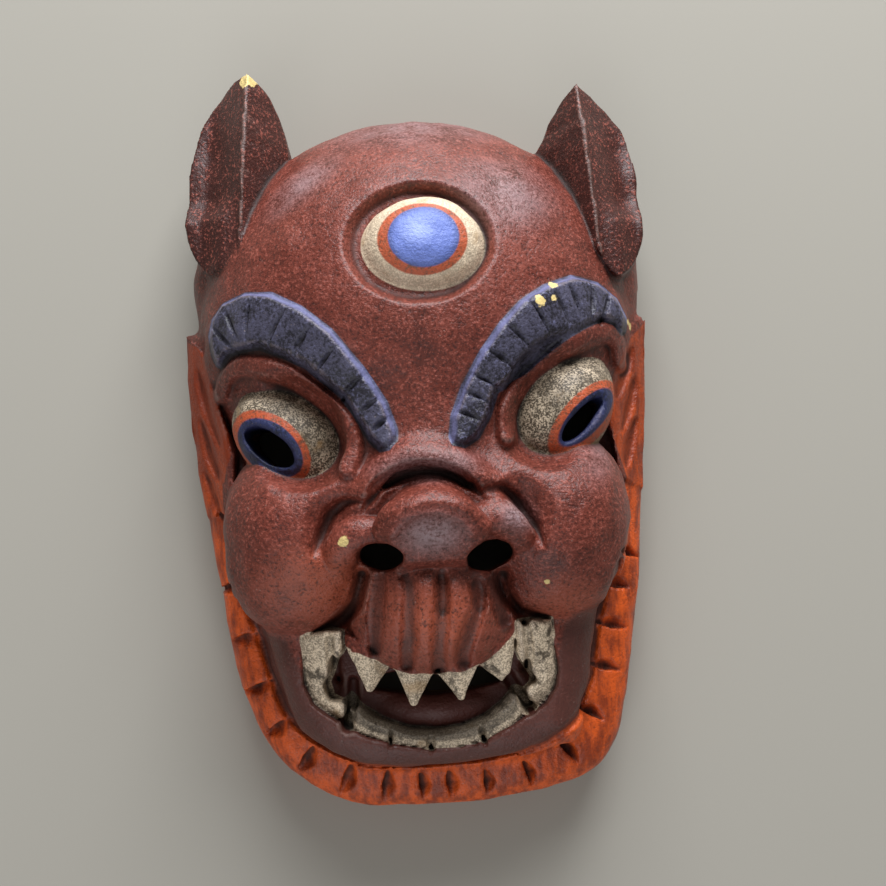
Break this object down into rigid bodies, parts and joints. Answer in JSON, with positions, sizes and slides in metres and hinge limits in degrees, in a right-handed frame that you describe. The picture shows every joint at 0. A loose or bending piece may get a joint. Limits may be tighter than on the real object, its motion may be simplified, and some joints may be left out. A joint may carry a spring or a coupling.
{
  "type": "wall mask",
  "caption": "Hollow carved and painted wooden wall mask: a fierce three-eyed spirit face with animal ears, fangs and pierced eyes.",
  "frame": {"origin": "centre of the bounding box, on the plane of the flat rim that the mask lies on", "axes": "+Z out of the face, +Y toward the ears, +X to the right as the face is seen from the front"},
  "size_m": [0.173, 0.27, 0.0961],
  "materials": {
    "painted_wood": "satin oxblood paint, worn and antiqued, with orange, blue and cream details"
  },
  "bodies": {
    "root": {"mask": "painted_wood"}
  },
  "joints": []
}
